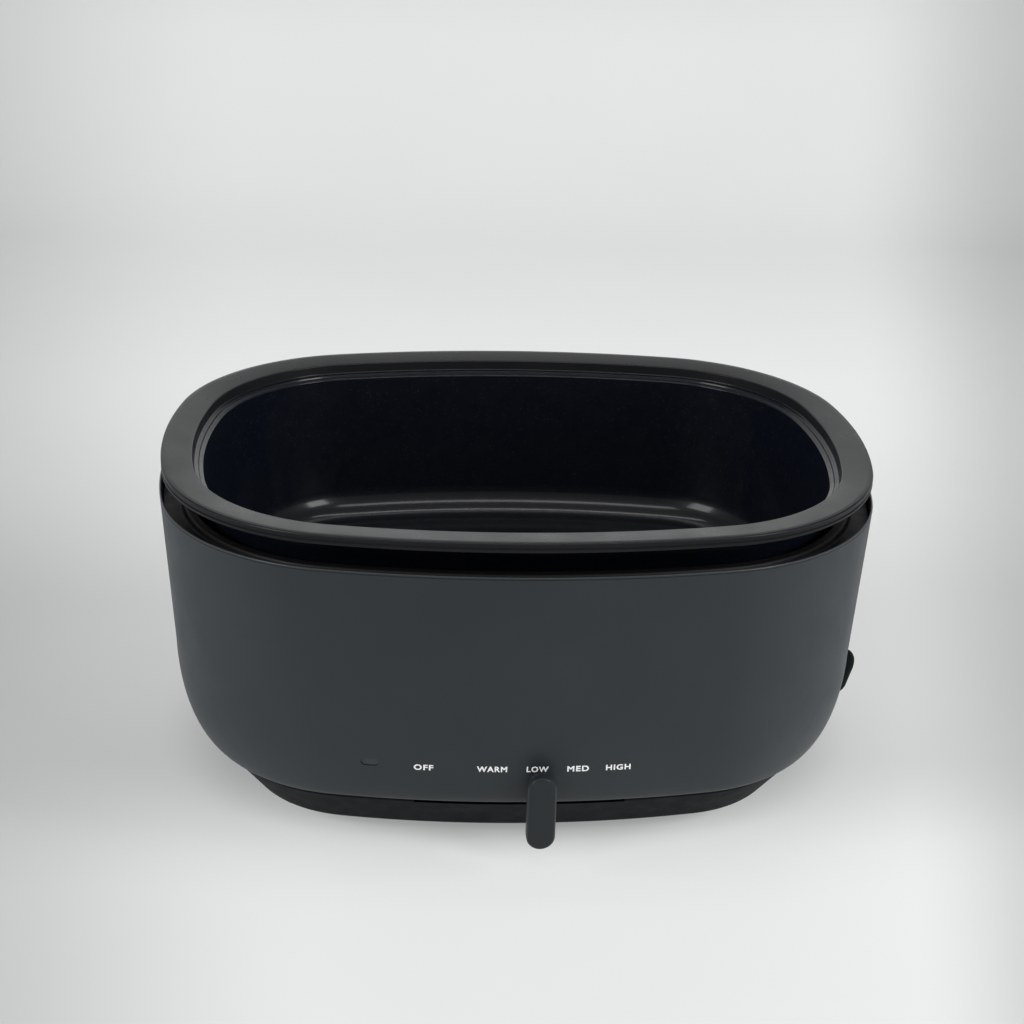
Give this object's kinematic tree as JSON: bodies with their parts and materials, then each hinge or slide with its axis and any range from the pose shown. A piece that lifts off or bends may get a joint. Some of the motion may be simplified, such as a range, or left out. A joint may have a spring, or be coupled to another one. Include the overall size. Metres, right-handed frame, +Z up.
{
  "type": "slow cooker",
  "caption": "Oval slow cooker: wide-flanged lift-out pot in a heated well, rounded shell on a low base, and a sliding lever that turns a rotary heat switch through gears.",
  "frame": {"origin": "on the floor, at the middle of the bounding box", "axes": "+Z up, +X to the cook's right when facing the controls, controls face -Y"},
  "size_m": [0.394, 0.3079, 0.1854],
  "materials": {
    "pot": "glossy speckled non-stick coating over cast aluminium",
    "shell_paint": "charcoal satin enamel on drawn steel",
    "well_enamel": "black heat-resisting paint on steel",
    "liner_plastic": "black moulded heat-resisting plastic",
    "mica_band": "steel-sheathed mica heater",
    "spring_steel": "zinc-plated spring steel",
    "glass_wool": "needled glass-fibre felt",
    "bright_sheet": "plain aluminium sheet",
    "base_plastic": "dark grey moulded plastic",
    "zinc_sheet": "zinc-plated steel sheet",
    "rubber": "black rubber",
    "knob_plastic": "charcoal moulded plastic, satin",
    "acetal": "natural acetal",
    "brass": "turned brass",
    "phenolic": "dark brown phenolic moulding",
    "lens": "smoked translucent plastic",
    "lamp_glass": "clear glass",
    "lead_sleeve": "glass-braid sleeved wire"
  },
  "bodies": {
    "base": {"outer_shell": "shell_paint", "heating_well": "well_enamel", "liner_ring": "liner_plastic", "lower_heater_band": "mica_band", "upper_heater_band": "mica_band", "band_clips": "spring_steel", "insulation_wrap": "glass_wool", "heat_shield": "bright_sheet", "base_tray": "base_plastic", "base_plate": "zinc_sheet", "rubber_feet": "rubber", "base_screws": "spring_steel", "standoff_posts": "spring_steel", "post_screws": "spring_steel", "pivot_pin": "spring_steel", "pivot_clip": "spring_steel", "rotary_switch": "phenolic", "bushing_nut": "brass", "switch_bracket": "zinc_sheet", "indicator_lens": "lens", "lamp_holder": "phenolic", "neon_lamp": "lamp_glass", "cord_gland": "rubber", "gland_nut": "base_plastic", "terminal_block": "acetal", "terminal_screws": "brass", "thermal_fuse": "bright_sheet", "fuse_clip": "spring_steel", "earth_stud": "brass", "internal_leads": "lead_sleeve"},
    "pot": {"cooking_pot": "pot"},
    "lever": {"control_knob": "knob_plastic", "lever_arm": "zinc_sheet", "sector_gear": "acetal", "sector_rivets": "spring_steel"},
    "selector": {"switch_pinion": "acetal", "switch_shaft": "brass", "contact_rotor": "acetal"}
  },
  "joints": [
    {"name": "pot_lift", "type": "slide", "parent": "base", "child": "pot", "axis": [0, 0, 1], "range_m": [0, 0.16]},
    {"name": "lever_swing", "type": "hinge", "parent": "base", "child": "lever", "pos_m": [0, 0.1061, 0.032], "axis": [0, 0, 1], "range_deg": [-13.85, 9.25]},
    {"name": "selector_turn", "type": "hinge", "parent": "base", "child": "selector", "pos_m": [0, 0.0461, 0.035], "axis": [0, 0, 1], "range_deg": [-60.2, 90.2]}
  ],
  "couplings": [
    {"joint": "selector_turn", "follows": "lever_swing", "ratio": -6.5}
  ]
}
